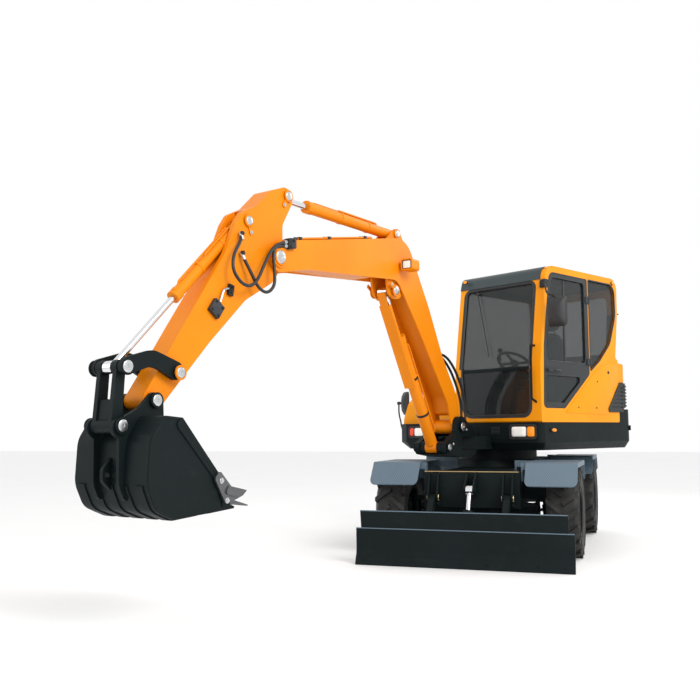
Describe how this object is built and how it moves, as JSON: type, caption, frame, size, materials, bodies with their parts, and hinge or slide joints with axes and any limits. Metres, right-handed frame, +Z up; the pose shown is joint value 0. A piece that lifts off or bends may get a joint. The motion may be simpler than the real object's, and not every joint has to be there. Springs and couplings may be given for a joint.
{
  "type": "wheeled excavator",
  "caption": "Compact wheeled excavator: axles with steered knuckles, blade, turning upper with hollow cab, swing post, goose-neck boom, arm, linkage and bucket.",
  "frame": {"origin": "centre of the machine's overall box, on the ground", "axes": "+X towards the dozer blade, +Y to the undercarriage's left, +Z up"},
  "size_m": [6.7238, 3.2068, 3.0604],
  "materials": {
    "gear_paint": "satin amber paint",
    "cab_paint": "satin amber paint",
    "dark_paint": "satin charcoal paint",
    "tread_plate": "worn checker plate",
    "steel": "ground steel",
    "wear_steel": "worn digging steel",
    "tyre": "matt rubber",
    "glass": "clear",
    "door_frame": "dark grey paint",
    "seat_cloth": "woven",
    "plastic": "grained",
    "rail": "black paint",
    "lamp": "clear lens",
    "engine_block": "cast"
  },
  "bodies": {
    "undercarriage": {"chassis": "dark_paint", "turntable": "dark_paint", "steps": "dark_paint", "front_fenders": "tread_plate", "rear_fenders": "tread_plate", "front_axle": "dark_paint", "rear_axle": "dark_paint"},
    "steering": {"steering_rod": "steel"},
    "left_knuckle": {"knuckle_left": "dark_paint"},
    "right_knuckle": {"knuckle_right": "dark_paint"},
    "front_left_wheel": {"rim_front_left": "dark_paint", "tyre_front_left": "tyre"},
    "front_right_wheel": {"rim_front_right": "dark_paint", "tyre_front_right": "tyre"},
    "rear_left_wheel": {"rim_rear_left": "dark_paint", "tyre_rear_left": "tyre"},
    "rear_right_wheel": {"rim_rear_right": "dark_paint", "tyre_rear_right": "tyre"},
    "dozer": {"blade": "dark_paint"},
    "dozer_barrel": {"blade_barrel": "dark_paint"},
    "dozer_rod": {"blade_rod": "steel"},
    "upper": {"deck": "dark_paint", "counterweight": "dark_paint", "cab": "cab_paint", "cab_roof": "dark_paint", "screen_bar": "dark_paint", "cab_glass": "glass", "seat": "seat_cloth", "console": "plastic", "steering_wheel": "plastic", "bay_sides": "cab_paint", "engine": "engine_block", "right_cover": "cab_paint", "side_vent": "plastic", "handrails": "rail", "mirrors": "plastic", "lamps": "lamp"},
    "cab_door": {"door": "door_frame", "door_glass": "glass"},
    "engine_hood": {"hood": "cab_paint", "hood_grille": "plastic"},
    "post": {"swing_post": "dark_paint"},
    "main_boom": {"boom": "gear_paint", "boom_lamp": "gear_paint"},
    "boom_ram_barrel": {"boom_barrel": "gear_paint"},
    "boom_ram_rod": {"boom_rod": "steel", "ram_guard": "gear_paint"},
    "dipper": {"arm": "gear_paint"},
    "arm_ram_barrel": {"arm_barrel": "gear_paint"},
    "arm_ram_rod": {"arm_rod": "steel"},
    "links": {"side_links": "dark_paint"},
    "shovel": {"bucket": "dark_paint", "bucket_teeth": "wear_steel"},
    "h_link": {"bucket_link": "dark_paint"},
    "bucket_ram_barrel": {"bucket_barrel": "gear_paint"},
    "bucket_ram_rod": {"bucket_rod": "steel"}
  },
  "joints": [
    {"name": "swing", "type": "hinge", "parent": "undercarriage", "child": "upper", "pos_m": [-1.76389, 0.21905, 0.99], "axis": [0, 0, 1], "continuous": true},
    {"name": "boom_swing", "type": "hinge", "parent": "upper", "child": "post", "pos_m": [-0.98806, -0.06644, 1.065], "axis": [0, 0, -1], "range_deg": [-68.6, 61.4]},
    {"name": "boom_lift", "type": "hinge", "parent": "post", "child": "main_boom", "pos_m": [-0.77573, -0.12773, 1.23], "axis": [-0.2773, -0.9608, 0], "range_deg": [-70, 40]},
    {"name": "boom_barrel_turn", "type": "hinge", "parent": "post", "child": "boom_ram_barrel", "pos_m": [-0.51728, -0.20233, 1.03], "axis": [-0.2773, -0.9608, 0], "range_deg": [-75, 45]},
    {"name": "boom_rod_slide", "type": "slide", "parent": "boom_ram_barrel", "child": "boom_ram_rod", "axis": [0.4836, -0.1396, 0.8641], "range_m": [-0.355, 0.205]},
    {"name": "arm_crowd", "type": "hinge", "parent": "main_boom", "child": "dipper", "pos_m": [1.85008, -0.88563, 2.494], "axis": [0.2773, 0.9608, 0], "range_deg": [-30, 85]},
    {"name": "arm_barrel_turn", "type": "hinge", "parent": "main_boom", "child": "arm_ram_barrel", "pos_m": [0.18601, -0.40532, 2.999], "axis": [0.2773, 0.9608, 0], "range_deg": [-10, 10]},
    {"name": "arm_rod_slide", "type": "slide", "parent": "arm_ram_barrel", "child": "arm_ram_rod", "axis": [0.9608, -0.2773, -0.0013], "range_m": [-0.245, 0.69]},
    {"name": "bucket_curl", "type": "hinge", "parent": "dipper", "child": "shovel", "pos_m": [3.0107, -1.22063, 1.392], "axis": [0.2773, 0.9608, 0], "range_deg": [-128, 50]},
    {"name": "link_turn", "type": "hinge", "parent": "dipper", "child": "links", "pos_m": [2.83008, -1.16849, 1.574], "axis": [0.2773, 0.9608, 0], "range_deg": [-92, 40]},
    {"name": "h_link_turn", "type": "hinge", "parent": "shovel", "child": "h_link", "pos_m": [3.26723, -1.29467, 1.235], "axis": [0.2773, 0.9608, 0], "range_deg": [-40, 100]},
    {"name": "bucket_barrel_turn", "type": "hinge", "parent": "dipper", "child": "bucket_ram_barrel", "pos_m": [2.14888, -0.97188, 2.716], "axis": [0.2773, 0.9608, 0], "range_deg": [-5, 5]},
    {"name": "bucket_rod_slide", "type": "slide", "parent": "bucket_ram_barrel", "child": "bucket_ram_rod", "axis": [0.6824, -0.197, -0.704], "range_m": [-0.545, 0.212]},
    {"name": "blade_lift", "type": "hinge", "parent": "undercarriage", "child": "dozer", "pos_m": [-0.20389, 0.21905, 0.575], "axis": [0, -1, 0], "range_deg": [-12, 30]},
    {"name": "blade_barrel_turn", "type": "hinge", "parent": "dozer", "child": "dozer_barrel", "pos_m": [0.11611, 0.23205, 0.17], "axis": [0, -1, 0], "range_deg": [-5, 5]},
    {"name": "blade_rod_slide", "type": "slide", "parent": "dozer_barrel", "child": "dozer_rod", "axis": [-0.4472, 0, 0.8944], "range_m": [-0.075, 0.035]},
    {"name": "steer", "type": "hinge", "parent": "undercarriage", "child": "left_knuckle", "pos_m": [-0.72889, 0.85905, 0.42], "axis": [0, 0, 1], "range_deg": [-26, 26]},
    {"name": "steer_right", "type": "hinge", "parent": "undercarriage", "child": "right_knuckle", "pos_m": [-0.72889, -0.42095, 0.42], "axis": [0, 0, 1], "range_deg": [-27, 27]},
    {"name": "steer_rod_slide", "type": "slide", "parent": "undercarriage", "child": "steering", "axis": [0, 1, 0], "range_m": [-0.08, 0.08]},
    {"name": "wheel_front_left", "type": "hinge", "parent": "left_knuckle", "child": "front_left_wheel", "pos_m": [-0.72889, 1.02905, 0.42], "axis": [0, 1, 0], "continuous": true},
    {"name": "wheel_rear_left", "type": "hinge", "parent": "undercarriage", "child": "rear_left_wheel", "pos_m": [-2.80389, 1.02905, 0.42], "axis": [0, 1, 0], "continuous": true},
    {"name": "wheel_front_right", "type": "hinge", "parent": "right_knuckle", "child": "front_right_wheel", "pos_m": [-0.72889, -0.59095, 0.42], "axis": [0, 1, 0], "continuous": true},
    {"name": "wheel_rear_right", "type": "hinge", "parent": "undercarriage", "child": "rear_right_wheel", "pos_m": [-2.80389, -0.59095, 0.42], "axis": [0, 1, 0], "continuous": true},
    {"name": "door_open", "type": "hinge", "parent": "upper", "child": "cab_door", "pos_m": [-1.68465, 1.23754, 2], "axis": [0, 0, 1], "range_deg": [0, 95]},
    {"name": "hood_open", "type": "hinge", "parent": "upper", "child": "engine_hood", "pos_m": [-2.6376, 0.67388, 1.925], "axis": [0.4617, 0.887, 0], "range_deg": [0, 55]}
  ],
  "couplings": [
    {"joint": "boom_barrel_turn", "follows": "boom_lift", "ratio": 1.03},
    {"joint": "boom_rod_slide", "follows": "boom_lift", "m_per_rad": 0.285},
    {"joint": "arm_barrel_turn", "follows": "arm_crowd", "ratio": 0.045},
    {"joint": "arm_rod_slide", "follows": "arm_crowd", "m_per_rad": 0.462},
    {"joint": "link_turn", "follows": "bucket_curl", "ratio": 0.69},
    {"joint": "h_link_turn", "follows": "bucket_curl", "ratio": -0.74},
    {"joint": "bucket_barrel_turn", "follows": "bucket_curl", "ratio": 0.015},
    {"joint": "bucket_rod_slide", "follows": "bucket_curl", "m_per_rad": 0.238},
    {"joint": "steer_right", "follows": "steer", "ratio": 1},
    {"joint": "steer_rod_slide", "follows": "steer", "m_per_rad": -0.165},
    {"joint": "blade_barrel_turn", "follows": "blade_lift", "ratio": -0.03},
    {"joint": "blade_rod_slide", "follows": "blade_lift", "m_per_rad": -0.107}
  ]
}
